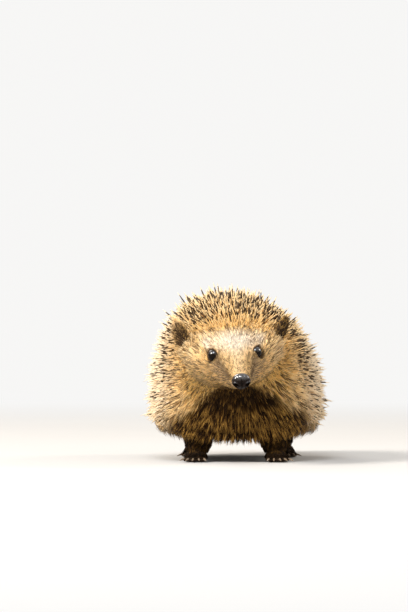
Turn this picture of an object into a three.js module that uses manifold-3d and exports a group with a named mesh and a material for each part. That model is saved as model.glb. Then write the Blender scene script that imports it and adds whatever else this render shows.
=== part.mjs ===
// A European hedgehog standing on all fours, life size, as a still museum model.
// Millimetres, +Z up. It faces -Y, its own left is +X, and its soles rest on Z = 0.
// The solids reach to the tips of the coat. One loft runs from the snout to the rump and is parted
// by thin cuts into head, neck and trunk; eyes, nose, ears, legs, feet, claws and tail are fitted to it.
import * as THREE from "three";
import { mergeVertices } from "three/addons/utils/BufferGeometryUtils.js";
import Module from "manifold-3d";

const wasm = await Module();
wasm.setup();
const { cos, sin, abs, sign, PI } = Math;
const rad = THREE.MathUtils.degToRad;

// Driving dimensions
const HEIGHT = 113; // ground to the tips of the highest spines
const HALF_WIDTH = 59.5; // mid line to the tips of the flank spines
const WAIST = 41; // height of the widest line of the trunk
const BELLY = 14; // height of the underside
const SHOULDER = -26; // where the hood of spines behind the head is squarest
const CREST = -8; // where the back is highest, along Y
const WIDEST = 22; // where the dome is widest
const DOME_START = -66; // front end of the dome, inside the head
const DOME_END = 106; // the rump
const SWAY = 6; // how far the rump swings to the animal's left
const LEAN = 6.5; // how far the top of the dome leans to its right
const SNOUT = new THREE.Vector3(2.4, -105, 54); // front of the muzzle, behind the nose pad
const HEAD_TURN = { pitch: 22, roll: -3.9, yaw: 5.2 }; // nose down, left side up, nose to the left
const GAP = 0.3; // clearance between neighbouring pieces

// Colours
const COLOURS = {
  spines: 0xa98c66,
  face: 0xc29a66,
  throat: 0x9a7649,
  leg: 0x6d5138,
  foot: 0x4d3a2c,
  ear: 0x5b4330,
  nose: 0x17151a,
  eye: 0x050506,
  claw: 0x8a7460,
  tail: 0x6a5038,
};

const hedgehog = new THREE.Group();

// The head's own frame: origin at the snout, +Y back along the skull, +Z up, +X to the animal's left.
const headFrame = new THREE.Matrix4()
  .makeRotationFromEuler(
    new THREE.Euler(rad(HEAD_TURN.pitch), rad(HEAD_TURN.roll), rad(HEAD_TURN.yaw), "ZYX"),
  )
  .setPosition(SNOUT);

// Solids and meshes -------------------------------------------------------------------------------

function solidOf(geometry) {
  const bare = new THREE.BufferGeometry();
  bare.setAttribute("position", geometry.getAttribute("position").clone());
  if (geometry.index) bare.setIndex(geometry.index);
  const merged = mergeVertices(bare, 1e-3);
  return new wasm.Manifold(
    new wasm.Mesh({
      numProp: 3,
      vertProperties: merged.getAttribute("position").array,
      triVerts: new Uint32Array(merged.getIndex().array),
    }),
  );
}

function geometryOf(solid) {
  const { vertProperties, triVerts } = solid.getMesh();
  const geometry = new THREE.BufferGeometry();
  geometry.setAttribute("position", new THREE.BufferAttribute(vertProperties, 3));
  geometry.setIndex(new THREE.BufferAttribute(triVerts, 1));
  geometry.computeVertexNormals();
  return geometry;
}

// Adds a named mesh made from a solid.
function piece(name, solid, color, roughness = 0.85) {
  const material = new THREE.MeshStandardMaterial({ color, roughness, metalness: 0 });
  const mesh = new THREE.Mesh(geometryOf(solid), material);
  mesh.name = name;
  hedgehog.add(mesh);
}

// A closed surface made by moving each point of a unit sphere, whose poles lie on its Y axis.
function swell(around, along, place) {
  const geometry = new THREE.SphereGeometry(1, around, along);
  const points = geometry.getAttribute("position");
  const p = new THREE.Vector3();
  for (let i = 0; i < points.count; i++) {
    p.fromBufferAttribute(points, i);
    points.setXYZ(i, ...place(p).toArray());
  }
  return geometry;
}

// An ellipsoid of half sizes `half`, centred at `at` inside the frame `frame`.
function ellipsoid(around, along, half, at, frame = new THREE.Matrix4()) {
  const geometry = swell(around, along, (p) => p.clone().multiply(half).add(at));
  return solidOf(geometry.applyMatrix4(frame));
}

const signedPower = (value, power) => sign(value) * abs(value) ** power;

// The body loft -----------------------------------------------------------------------------------

// Rings of the head in its own frame: distance behind the snout, then half width, and reach up and down.
const HEAD_RINGS = [
  { back: 2.5, wide: 6.2, up: 5.4, down: 6.2 },
  { back: 12, wide: 10.4, up: 8.6, down: 9.8 },
  { back: 22, wide: 17.0, up: 12.8, down: 14.5 },
  { back: 33, wide: 26.5, up: 17.0, down: 20.0 },
  { back: 45, wide: 36.0, up: 22.0, down: 26.5 },
].map((ring) => ({
  ...ring,
  frame: headFrame.clone().multiply(new THREE.Matrix4().makeTranslation(0, ring.back, 0)),
  lean: 0,
  crown: 2.15,
  squareness: 2,
}));

// The mid line's place along X: straight at the shoulders, bending towards the rump.
const swayAt = (y) => SWAY * (Math.max(0, y - SHOULDER) / (DOME_END - SHOULDER)) ** 2;

// How full the dome is at a place along Y: 1 at `middle`, falling to 0 at both its ends.
function fullness(y, middle) {
  const power = 2.2;
  const share = (y - middle) / ((y < middle ? DOME_START : DOME_END) - middle);
  return (1 - share ** power) ** (1 / power);
}

// A ring of the trunk, tipped forward by `tip` degrees. `crown` says how square it is above its
// waist: 2 is round, and more is flatter on top. It leans to the animal's right towards its top.
function trunkRing(y, tip = 0, crown = 1.97) {
  const wide = fullness(y, WIDEST);
  const high = fullness(y, CREST);
  return {
    wide: HALF_WIDTH * wide,
    up: (HEIGHT - WAIST) * high,
    down: (WAIST - BELLY) * wide ** 0.4,
    frame: new THREE.Matrix4().makeRotationX(rad(tip)).setPosition(swayAt(y), y, WAIST),
    lean: LEAN * high,
    crown,
    squareness: 3.4,
  };
}

const TRUNK_RINGS = [
  trunkRing(-47, 9, 2.4),
  trunkRing(SHOULDER, 3, 2.65),
  trunkRing(4, 0, 2.05),
  trunkRing(36),
  trunkRing(64),
  trunkRing(85, -4),
  trunkRing(98, -8),
  trunkRing(104.5, -10),
];
const RUMP = new THREE.Vector3(SWAY, DOME_END, WAIST);

// The point of a ring at the angle `turn` round it, grown by `clear` all round.
function ringPoint({ wide, up, down, frame, lean, crown, squareness }, turn, clear) {
  const above = sin(turn) > 0;
  const power = 2 / (above ? crown : squareness);
  const rise = signedPower(sin(turn), power);
  const x = signedPower(cos(turn), power) * (wide + clear) - (above ? lean * rise ** 2 : 0);
  const z = rise * ((above ? up : down) + clear);
  return new THREE.Vector3(x, 0, z).applyMatrix4(frame);
}

// The whole body from snout to rump: at each angle a smooth curve runs through all the rings.
function bodyLoft(clear = 0, around = 36, perRing = 3) {
  const rings = [...HEAD_RINGS, ...TRUNK_RINGS];
  const front = new THREE.Vector3(0, -clear, 0).applyMatrix4(headFrame);
  const back = RUMP.clone().add(new THREE.Vector3(0, clear, 0));
  const curves = Array.from({ length: around }, (_, i) => {
    const turn = (2 * PI * i) / around;
    const through = rings.map((ring) => ringPoint(ring, turn, clear));
    return new THREE.CatmullRomCurve3([front, ...through, back], false, "centripetal");
  });
  const along = (rings.length + 1) * perRing;
  const geometry = new THREE.SphereGeometry(1, around, along);
  const points = geometry.getAttribute("position");
  for (let row = 0; row <= along; row++) {
    for (let column = 0; column <= around; column++) {
      // SphereGeometry's rows run from its +Y pole, and its columns turn from -X to +Z.
      const curve = curves[(around + around / 2 - column) % around];
      const p = curve.getPoint(1 - row / along);
      points.setXYZ(row * (around + 1) + column, p.x, p.y, p.z);
    }
  }
  return solidOf(geometry);
}

const body = bodyLoft();
const bodyClear = bodyLoft(GAP);

// Eyes and nose -----------------------------------------------------------------------------------

const EYE_RADIUS = 4;
const EYE_AT = new THREE.Vector3(13.8, 26, 8.0); // from the snout, in the head's frame
const NOSE_HALF = new THREE.Vector3(5.1, 3.6, 4.7);
const NOSE_AT = new THREE.Vector3(0, -0.2, 0.2);
const NOSTRIL_HALF = new THREE.Vector3(1.15, 1.7, 1.0);
const NOSTRIL_AT = new THREE.Vector3(2.7, -3.0, -0.9);

const mirrored = (v, side) => new THREE.Vector3(v.x * side, v.y, v.z);
const SIDES = { left: 1, right: -1 };

function eyeball(side, clear = 0) {
  const radius = EYE_RADIUS + clear;
  const half = new THREE.Vector3(radius, radius, radius);
  return ellipsoid(14, 8, half, mirrored(EYE_AT, side), headFrame);
}

function nosePad(clear = 0) {
  const half = NOSE_HALF.clone().addScalar(clear);
  return ellipsoid(14, 9, half, NOSE_AT, headFrame);
}

function nostril(side) {
  return ellipsoid(8, 6, NOSTRIL_HALF, mirrored(NOSTRIL_AT, side), headFrame);
}

// The closed mouth: a fine groove under the nose, running back along both sides of the muzzle.
const MOUTH_WIDTH = 0.9;
const MOUTH_LINE = [
  [0, 1.6, -6.2],
  [4.9, 6, -6.6],
  [7.4, 12, -7.4],
  [9.6, 18, -9.4],
];

function mouth() {
  const left = MOUTH_LINE.map((p) => new THREE.Vector3(...p));
  const right = left.slice(1).map((p) => mirrored(p, -1)).reverse();
  const extrudePath = new THREE.CatmullRomCurve3([...right, ...left]);
  const section = new THREE.Shape();
  section.absarc(0, 0, MOUTH_WIDTH / 2, 0, 2 * PI);
  const lips = new THREE.ExtrudeGeometry(section, { extrudePath, steps: 20, curveSegments: 3 });
  return solidOf(lips.applyMatrix4(headFrame));
}

// Ears --------------------------------------------------------------------------------------------

const EAR_HALF = { width: 6, height: 9, thick: 0.9 };
const EAR_CUP = 0.05; // how fast the rim curves forward, per millimetre from the middle
const EAR_AT = new THREE.Vector3(30.5, 49.5, 10.8);
const EAR_TURN = { out: 40, back: 14, spread: 12 };

// A thick-edged round leaf, cupped forward, standing on the crown's front corner.
function ear(side, clear = 0) {
  const { width, height, thick } = EAR_HALF;
  const leaf = swell(14, 8, (p) => {
    const x = p.x * (width + clear);
    const z = p.z * (height + clear);
    const wall = signedPower(p.y, 0.5) * (thick + clear);
    return new THREE.Vector3(x, wall - EAR_CUP * (x * x + 0.5 * z * z), z);
  });
  const turn = new THREE.Euler(
    rad(-EAR_TURN.back),
    rad(EAR_TURN.spread * side),
    rad(EAR_TURN.out * side),
    "ZYX",
  );
  const place = new THREE.Matrix4().makeRotationFromEuler(turn).setPosition(mirrored(EAR_AT, side));
  return solidOf(leaf.applyMatrix4(place).applyMatrix4(headFrame));
}

// Legs, feet and claws ----------------------------------------------------------------------------

const LIMBS = {
  front: { x: 25, y: -24, reach: 3.5, sole: 9, palm: 6.6, toe: 6.2, claw: 4.6 },
  hind: { x: 28, y: 60, reach: 9, sole: 14.5, palm: 6.2, toe: 5.8, claw: 5.6 },
};
const LEG = { hip: 26, thigh: 11, ankle: 6.4, height: 8.5 }; // of every leg: top, girths and lower end
const SPLAY = 10; // degrees that each foot points outward
const TOES = [-2, -1, 0, 1, 2]; // five toes, from the inner to the outer
const TOE_FAN = 13; // degrees between neighbouring toes
const TOE_RADIUS = 1.9;
const CLAW_RADIUS = 0.85;

// Presses whatever reaches below the ground flat on to it.
const onGround = (p) => p.setZ(Math.max(p.z, 0));

// A foot's frame: its origin is under the leg, and the toes point along -Y.
function limbFrame({ x, y }, side) {
  const place = [x * side + swayAt(y), y, 0];
  return new THREE.Matrix4().makeRotationZ(rad(SPLAY * side)).setPosition(...place);
}

// A tapering leg from inside the trunk down to its flat lower end.
function leg(limb, side) {
  const shape = swell(12, 5, (p) => {
    const share = (p.y + 1) / 2; // 0 at the ankle, 1 at the hip
    const girth = THREE.MathUtils.lerp(LEG.ankle, LEG.thigh, share) * (1 - abs(p.y) ** 6) ** 0.5;
    const across = new THREE.Vector2(p.x, p.z).setLength(girth);
    const z = THREE.MathUtils.lerp(0, LEG.hip, share);
    return new THREE.Vector3(across.x, -across.y, Math.max(z, LEG.height));
  });
  return shape.applyMatrix4(limbFrame(limb, side));
}

// Where toe number `toe` starts, and which way it points.
function toeFrame(limb, side, toe) {
  const frame = new THREE.Matrix4().makeRotationZ(rad(TOE_FAN * toe * side));
  const knuckle = -limb.reach - limb.sole * (0.97 - 0.08 * abs(toe));
  frame.setPosition(toe * side * limb.palm * 0.36, knuckle, 0);
  return limbFrame(limb, side).multiply(frame);
}

// The sole with its five toes, flat where it meets the ground.
function foot(limb, side, clear = 0) {
  const sole = swell(12, 7, (p) => {
    const wide = (limb.palm + clear) * (1 - 0.2 * p.y);
    const back = p.y * (limb.sole + clear) - limb.reach;
    return onGround(new THREE.Vector3(p.x * wide, back, 3.6 + p.z * (4.9 + clear)));
  });
  let solid = solidOf(sole.applyMatrix4(limbFrame(limb, side)));
  for (const toe of TOES) {
    const long = limb.toe * (1 - 0.1 * abs(toe)) + clear;
    const thick = TOE_RADIUS + clear;
    const shape = swell(8, 5, (p) =>
      onGround(new THREE.Vector3(p.x * thick, p.y * long, 1.7 + p.z * thick)),
    );
    solid = solid.add(solidOf(shape.applyMatrix4(toeFrame(limb, side, toe))));
  }
  return solid;
}

// A curved claw, rooted in its toe's end, whose tip stays just off the ground.
function claw(limb, side, toe) {
  const start = -limb.toe * (1 - 0.1 * abs(toe)) + 1.5;
  const shape = swell(6, 4, (p) => {
    const share = (1 - p.y) / 2; // 0 at the root, 1 at the tip
    const radius = CLAW_RADIUS * (1 - share ** 1.5) * (1 - (1 - share) ** 8) ** 0.5 + 0.02;
    const across = new THREE.Vector2(p.x, p.z).setLength(abs(p.y) > 0.999 ? 0 : radius);
    const drop = 1.3 * share ** 2;
    return new THREE.Vector3(across.x, start - share * (limb.claw + 1.5), 2.3 + across.y - drop);
  });
  return solidOf(shape.applyMatrix4(toeFrame(limb, side, toe)));
}

// Tail --------------------------------------------------------------------------------------------

const TAIL = { root: new THREE.Vector3(SWAY, 88, 27), long: 25, radius: 4.8, droop: 20 };

function tail() {
  const shape = swell(10, 8, (p) => {
    const share = (p.y + 1) / 2; // 0 at the root, 1 at the tip
    const radius = TAIL.radius * (1 - 0.75 * share) * (1 - abs(p.y) ** 4) ** 0.5;
    const across = new THREE.Vector2(p.x, p.z).setLength(radius);
    return new THREE.Vector3(across.x, share * TAIL.long, across.y);
  });
  const droop = new THREE.Matrix4().makeRotationX(rad(-TAIL.droop)).setPosition(TAIL.root);
  return solidOf(shape.applyMatrix4(droop));
}

// Parting and fitting -----------------------------------------------------------------------------

const NECK = { head: -52, trunk: -34, height: 64, lean: 10 }; // where the two cuts cross the axis

// Everything ahead of (or behind) a leaning plane, as one big block.
function half(y, ahead) {
  const size = 400;
  const block = new THREE.BoxGeometry(size, size, size);
  block.translate(0, ((ahead ? -1 : 1) * size) / 2, 0);
  const frame = new THREE.Matrix4()
    .makeRotationX(rad(-NECK.lean))
    .setPosition(0, y, NECK.height);
  return solidOf(block.applyMatrix4(frame));
}

// The head's block is cut for the eyes, nose and ears that sit in it.
let head = body.intersect(half(NECK.head - GAP / 2, true));
let neck = body.intersect(half(NECK.head + GAP / 2, false)).intersect(half(NECK.trunk - GAP / 2, true));
let trunk = body.intersect(half(NECK.trunk + GAP / 2, false));

head = head.subtract(nosePad(GAP)).subtract(mouth());
for (const [name, side] of Object.entries(SIDES)) {
  head = head.subtract(eyeball(side, GAP));
  piece(`eye_${name}`, eyeball(side), COLOURS.eye, 0.08);
  piece(`ear_${name}`, ear(side).subtract(bodyClear), COLOURS.ear);
}
piece("nose", nosePad().subtract(nostril(1)).subtract(nostril(-1)), COLOURS.nose, 0.3);

for (const [end, limb] of Object.entries(LIMBS)) {
  for (const [name, side] of Object.entries(SIDES)) {
    const upper = solidOf(leg(limb, side)).subtract(bodyClear);
    piece(`leg_${end}_${name}`, upper.subtract(foot(limb, side, GAP)), COLOURS.leg);
    piece(`foot_${end}_${name}`, foot(limb, side), COLOURS.foot);
    const socket = foot(limb, side, GAP);
    TOES.forEach((toe, i) => {
      const nail = claw(limb, side, toe).subtract(socket);
      piece(`claw_${end}_${name}_${i + 1}`, nail, COLOURS.claw, 0.4);
    });
  }
}

piece("tail", tail().subtract(bodyClear), COLOURS.tail);
piece("head", head, COLOURS.face);
piece("neck", neck, COLOURS.throat);
piece("trunk", trunk, COLOURS.spines);

// The origin is the middle of the ground under the animal.
const bounds = new THREE.Box3().setFromObject(hedgehog);
const middle = bounds.getCenter(new THREE.Vector3());
hedgehog.position.set(-middle.x, -middle.y, -bounds.min.z);

export default hedgehog;
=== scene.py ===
"""The looks of a life-size European hedgehog: skin with lids and lips, eyes, wet nose, claws, short and
long fur, and the banded spines. Shapes are worked out in millimetres and written in metres."""

import math

import bmesh
import bpy
import numpy as np
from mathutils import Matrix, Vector
from mathutils.bvhtree import BVHTree
from mathutils.kdtree import KDTree


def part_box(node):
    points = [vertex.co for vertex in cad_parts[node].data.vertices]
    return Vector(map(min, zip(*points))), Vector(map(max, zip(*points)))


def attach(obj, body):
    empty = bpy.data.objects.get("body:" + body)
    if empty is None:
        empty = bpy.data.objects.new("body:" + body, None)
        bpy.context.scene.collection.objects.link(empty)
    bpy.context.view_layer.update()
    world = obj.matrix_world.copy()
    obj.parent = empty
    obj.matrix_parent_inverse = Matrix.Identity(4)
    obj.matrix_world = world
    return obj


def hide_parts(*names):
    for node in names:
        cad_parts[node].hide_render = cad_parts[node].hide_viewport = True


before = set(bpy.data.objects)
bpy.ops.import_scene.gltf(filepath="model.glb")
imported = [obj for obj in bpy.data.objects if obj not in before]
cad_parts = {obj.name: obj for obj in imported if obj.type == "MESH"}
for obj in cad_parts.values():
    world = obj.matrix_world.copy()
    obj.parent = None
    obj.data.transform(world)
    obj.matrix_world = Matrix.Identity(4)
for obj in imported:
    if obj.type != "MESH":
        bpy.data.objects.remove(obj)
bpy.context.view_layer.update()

MM = 0.001
SIDES = {"left": 1, "right": -1}
draw = np.random.default_rng(11)  # every random number in the coat comes from here, in order


# Small helpers ------------------------------------------------------------------------------------


def unit(v):
    return v / np.maximum(np.linalg.norm(v, axis=-1, keepdims=True), 1e-9)


def dot(a, b):
    return (a * b).sum(-1)


def rise(value, low, high):
    """0 below low, 1 above high, smooth between."""
    t = np.clip((value - low) / (high - low), 0, 1)
    return t * t * (3 - 2 * t)


def fall(value, low, high):
    return 1 - rise(value, low, high)


def bell(value, middle, width):
    return np.exp(-(((value - middle) / width) ** 2))


def mix(a, b, share):
    return a + (b - a) * share


def across(v, n):
    """The part of each vector v that lies in the surface whose normal is n."""
    return v - n * dot(v, n)[..., None]


def distance(p, place):
    return np.linalg.norm(p - place, axis=-1)


def near_line(p, start, end):
    """Each point's distance from a line segment."""
    along = end - start
    share = np.clip(dot(p - start, along) / dot(along, along), 0, 1)
    return np.linalg.norm(p - start - share[..., None] * along, axis=-1)


# Landmarks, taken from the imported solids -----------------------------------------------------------


def middle(node):
    low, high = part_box(node)
    return np.array((low + high) / 2) / MM


def half_size(node):
    low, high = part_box(node)
    return np.array((high - low) / 2) / MM


EYE_SOLIDS = {side: middle(f"eye_{side}") for side in SIDES}
EARS = {side: middle(f"ear_{side}") for side in SIDES}
EYE_RADIUS = half_size("eye_left")[0]
NOSE = middle("nose")
LEGS = {f"{end}_{side}": middle(f"leg_{end}_{side}") for end in ("front", "hind") for side in SIDES}
TAIL = middle("tail")

# The face's own directions: to the animal's left, from between the eyes to the nose, and up from both.
LEFT = unit(EYE_SOLIDS["left"] - EYE_SOLIDS["right"])
SNOUT = NOSE - (EYE_SOLIDS["left"] + EYE_SOLIDS["right"]) / 2
AHEAD = unit(SNOUT - LEFT * dot(SNOUT, LEFT))
UP = np.cross(AHEAD, LEFT)


def face_place(p):
    """Points as (to the left, back from the nose, up) on the face."""
    r = p - NOSE
    return r @ LEFT, -(r @ AHEAD), r @ UP


def on_face(left, back, up):
    """The point at such a place on the face."""
    return NOSE + LEFT * left - AHEAD * back + UP * up


GAZE = {side: unit(LEFT * 0.74 * k + AHEAD * 0.62 + UP * 0.38) for side, k in SIDES.items()}
EYE_SINK = 0.7  # how much deeper the eyeballs sit than the solids' eyes
EYE_SHIFT = -0.8  # and how far to the animal's left
EYES = {side: EYE_SOLIDS[side] - EYE_SINK * GAZE[side] + EYE_SHIFT * LEFT for side in SIDES}
EAR_UP = {side: unit(np.array([0.30 * k, 0.25, 1.0])) for side, k in SIDES.items()}
CUP_AIM = {"left": np.array([0.85, -0.7, 0.2]), "right": np.array([-0.5, -1.0, 0.2])}
EAR_FACE = {side: unit(across(unit(CUP_AIM[side]), EAR_UP[side])) for side in SIDES}


# Where the kinds of coat lie -----------------------------------------------------------------------

# Height above the ground, and how far forward the spines start there.
SPINE_EDGE = ([22, 30, 40, 50, 60, 80, 88, 96], [-14, -26, -35, -41, -46, -52, -58, -62])
SPINE_FOOT = (23, 31)  # the height over which the spines give way to the fringe below them
SPINE_DEPTH = 12.5  # from the skin to the outline over the spiny back
EAR_DEPTH = 4.5  # and round the roots of the ears
# Distance from the nose, and how deep the fur is there.
FUR_DEPTH = ([0, 10, 22, 32, 45, 60, 80], [0.5, 0.7, 1.1, 2.4, 5.0, 7.5, 8.5])
MIDLINE = ([-40, 100], [0, 6])  # places along the body, and how far left its middle is there
BODY_HEART, SPINES_HEART = 50, 66  # how high its middle is, and the middle that spines spread from
# The closed mouth from the middle of the lips to its corner: places on the face.
MOUTH = [(0, 1.5, -6.6), (4.6, 5.5, -6.8), (7.4, 11.5, -7.8), (9.6, 18.5, -9.6)]


def mouth_gap(p):
    """Each point's distance from the closed mouth."""
    gaps = []
    for k in SIDES.values():
        corners = [on_face(k * a, b, u) for a, b, u in MOUTH]
        gaps += [near_line(p, start, end) for start, end in zip(corners, corners[1:])]
    return np.min(gaps, axis=0)


def eye_gap(p):
    return np.min([distance(p, eye) for eye in EYES.values()], axis=0)


def ear_gap(p):
    return np.min([distance(p, ear) for ear in EARS.values()], axis=0)


def on_leg(p):
    """1 on the legs, 0 on the body."""
    far = [np.hypot(p[:, 0] - leg[0], p[:, 1] - leg[1]) for leg in LEGS.values()]
    return np.maximum(fall(p[:, 2], 8, 15), fall(np.min(far, axis=0), 10, 14) * fall(p[:, 2], 17, 23))


def belly_share(p, n):
    """1 where the skin faces down behind the throat, 0 elsewhere."""
    return rise(-n[:, 2], 0.3, 0.8) * rise(distance(p, NOSE), 45, 60)


def ear_front(p):
    """1 inside the cup of an ear, 0 off it."""
    shares = []
    for side in SIDES:
        r = p - EARS[side] - 1.5 * EAR_FACE[side]
        r = r - 0.45 * dot(r, EAR_UP[side])[:, None] * EAR_UP[side]
        shares.append(fall(np.linalg.norm(r, axis=1), 4.2, 5.8))
    return np.max(shares, axis=0)


def behind_edge(p):
    """Millimetres behind the front edge of the spines, which is an arc over the crown; negative in
    the fur."""
    a, b, _ = face_place(p)
    crown = b - 50 - 0.02 * np.maximum(abs(a) - 12, 0) ** 2
    return np.maximum(p[:, 1] - np.interp(p[:, 2], *SPINE_EDGE), np.where(p[:, 2] > 60, crown, -99))


def spiny(p):
    return rise(behind_edge(p), -3, 5) * rise(p[:, 2], *SPINE_FOOT)


def coat_depth(p, n):
    """How deep the coat is at points with normals n, from the outline in to the skin."""
    nose = distance(p, NOSE)
    depth = np.interp(nose, *FUR_DEPTH)
    for eye in EYES.values():
        depth *= 1 - 0.7 * bell(distance(p, eye), 0, 8)
    depth *= 1 - 0.45 * rise(-n[:, 2], 0.5, 0.95) * rise(nose, 50, 70)
    depth = mix(depth, SPINE_DEPTH, rise(behind_edge(p), -10, 26) * rise(n[:, 2], -0.75, -0.15))
    return mix(depth, EAR_DEPTH, bell(ear_gap(p), 0, 10))


LID_OPEN = 70  # degrees from the middle of the eye to its lids
LID_THICK = 0.5


def lid_angles(p, side):
    """Each point's angle from the middle of the eye, and the angle of the lids' edge on its side.

    The opening is drawn out to a corner towards the nose."""
    centre, gaze = EYES[side], GAZE[side]
    r = p - centre
    angle = np.degrees(np.arccos(np.clip(unit(r) @ gaze, -1, 1)))
    corner = unit(across((NOSE - centre)[None], gaze[None]))[0]
    to_corner = unit(across(r, gaze[None])) @ corner
    return angle, LID_OPEN + 9 * rise(to_corner, 0.75, 1.0) ** 2


def lid_rims(p):
    """1 along the edges of the lids, 0 away from them."""
    close = fall(eye_gap(p), EYE_RADIUS + 1.0, EYE_RADIUS + 2.0)
    angles = [lid_angles(p, side) for side in SIDES]
    return np.max([fall(angle - opening, 0, 6) * close for angle, opening in angles], axis=0)


def pale_face(p):
    """How pale the brow, the bridge of the nose, the upper lips and the muzzle are."""
    a, b, u = face_place(p)
    side, nose = abs(a), distance(p, NOSE)
    brow = bell(b, 32, 10) * bell(a, 0, 19) * rise(u, -4, 2)
    brow = np.maximum(brow, bell(side, 17, 8) * bell(b, 35, 8) * rise(u, -4, 2))
    brow = np.maximum(brow, 0.35 * bell(side, 26, 11) * bell(b, 34, 11) * rise(u, -22, -8))
    bridge = 0.32 * bell(a, 0, 5.5) * fall(b, 26, 40) * rise(u, -1, 3)
    lip = 0.4 * fall(nose, 8, 13) * fall(u, -4, -1) * rise(u, -12, -9)
    muzzle = 0.2 * fall(b, 16, 27) * rise(side, 4, 8) * rise(u, -11, -6)
    return np.clip(np.maximum(brow + bridge + lip, muzzle), 0, 1)


def dark_face(p):
    """The dark smudges from the eyes to the nose and round the mouth, the rims of the lids, and the
    darker hair and skin far back among the spines, part dark underfur and part painted shade."""
    a, b, u = face_place(p)
    side, lines = abs(a), []
    for eye_side, k in SIDES.items():
        corner = EYES[eye_side] + unit(NOSE - EYES[eye_side]) * (EYE_RADIUS + 1)
        lines.append(near_line(p, corner, on_face(6.5 * k, 6, -1.2)))
    shares = [
        0.95 * bell(np.min(lines, axis=0), 0, 3.1),
        0.5 * bell(side, 15, 5) * bell(b, 19, 7) * bell(u, -5, 5),
        0.45 * fall(b, 12, 26) * rise(u, -10, -6) * rise(side, 2, 6),
        bell(mouth_gap(p), 0, 1.0),
        # part dark underfur, part painted shade among the spines
        0.75 * rise(behind_edge(p), 22, 56),
        0.85 * lid_rims(p),
    ]
    return np.max(shares, axis=0)


def dark_and_shaded_chest(p):
    """The dark of the chest and the legs, part dark fur and part painted shadow under the head, and how
    much of it is on the throat.
    """
    a, b, _ = face_place(p)
    wide = np.maximum(abs(p[:, 0] - NOSE[0]) - 8, 0)
    # It begins below the chin and falls away to both sides.
    line = 46.5 + 8 * rise(b, 6, 18) + 12 * rise(b, 34, 46) * fall(abs(a), 5, 13)
    below = p[:, 2] - line + 0.34 * wide + 0.013 * wide**2
    chest = fall(below, -4, 3) * rise(distance(p, NOSE), 6, 10)
    chest = np.maximum(chest, fall(p[:, 2], 14, 26))
    return chest, chest * rise(p[:, 2], 38, 45) * fall(wide, 8, 22)


def markings_and_shade(p):
    """How much of each colour area a point has: pale brow, dark smudge and painted shade among the
    spines, dark chest with painted shadow; straw flank, golden crown, bare skin and painted shadow
    under the chin."""
    _, back, _ = face_place(p)
    high, smudge_and_shade = p[:, 2], dark_face(p)
    chest, throat = dark_and_shaded_chest(p)
    straw = rise(abs(p[:, 0]), 27, 42) * rise(distance(p, NOSE), 50, 75)
    straw = straw * (0.6 + 0.4 * rise(high, 25, 50))
    pale = np.maximum(pale_face(p), 0.35 * straw * rise(high, 34, 54))
    crown = fall(behind_edge(p), 6, 24) * rise(back, 38, 49) * rise(high, 40, 80)
    ears = np.maximum(ear_front(p), 0.6 * fall(ear_gap(p), 8, 10.5))
    feet = fall(high, 6, 11)
    # Half of the throat's dark goes on as the bare skin's colour, a painted shadow under the chin.
    bare_and_shade = np.max([ears, feet, 0.9 * lid_rims(p), 0.75 * on_leg(p), 0.5 * throat], axis=0)
    return (
        np.stack([pale * (1 - smudge_and_shade), smudge_and_shade, chest], axis=1),
        np.stack([straw, crown, bare_and_shade], axis=1),
    )


# Meshes as arrays ----------------------------------------------------------------------------------


def read_points(mesh, what="co"):
    values = np.empty(len(mesh.vertices) * 3, np.float32)
    mesh.vertices.foreach_get(what, values)
    return values.reshape(-1, 3).astype(float) / (MM if what == "co" else 1)


def write_points(mesh, points):
    mesh.vertices.foreach_set("co", (points * MM).astype(np.float32).ravel())
    mesh.update()


def edges_of(mesh):
    ends = np.empty(len(mesh.edges) * 2, np.int32)
    mesh.edges.foreach_get("vertices", ends)
    return ends.reshape(-1, 2)


def relax(values, edges, times, strength=0.5):
    """Moves each point's values towards the mean of its neighbours'."""
    count = len(values)
    ties = np.maximum(np.bincount(edges.ravel(), minlength=count), 1)[:, None]
    strength = np.broadcast_to(np.asarray(strength, float).reshape(-1, 1), (count, 1))
    for _ in range(times):
        total = np.stack(
            [
                np.bincount(edges[:, 0], values[edges[:, 1], k], count)
                + np.bincount(edges[:, 1], values[edges[:, 0], k], count)
                for k in range(3)
            ],
            axis=1,
        )
        values = values + strength * (total / ties - values)
    return values


def mesh_from(shape, name):
    """The mesh of what a bmesh holds; the bmesh is then let go."""
    mesh = bpy.data.meshes.new(name)
    shape.to_mesh(mesh)
    shape.free()
    return mesh


def round_ball(name, segments, rings):
    """A ball of radius 1."""
    ball = bmesh.new()
    bmesh.ops.create_uvsphere(ball, u_segments=segments, v_segments=rings, radius=1)
    return mesh_from(ball, name)


def link_object(name, data):
    made = bpy.data.objects.new(name, data)
    bpy.context.scene.collection.objects.link(made)
    return made


def add_piece(name, mesh, material, replaces=()):
    piece = link_object(name, mesh)
    mesh.materials.append(material)
    mesh.polygons.foreach_set("use_smooth", np.full(len(mesh.polygons), True))
    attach(piece, "root")
    if replaces:
        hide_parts(*replaces)


def keep_attribute(mesh, name, values):
    """Keeps a number, or a set of three, for each of a mesh's points."""
    kind, field = ("FLOAT", "value") if values.ndim == 1 else ("FLOAT_VECTOR", "vector")
    kept = mesh.attributes.new(name, kind, "POINT")
    kept.data.foreach_set(field, np.ascontiguousarray(values, np.float32).ravel())


def keep_markings(mesh, p, each=1):
    """Keeps the markings and painted shade at the points p, each of them for so many of the mesh's
    points.
    """
    for name, values in zip(("markings_and_shade", "grounds"), markings_and_shade(p)):
        keep_attribute(mesh, name, np.repeat(values, each, axis=0))


# Finishes ------------------------------------------------------------------------------------------


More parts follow.
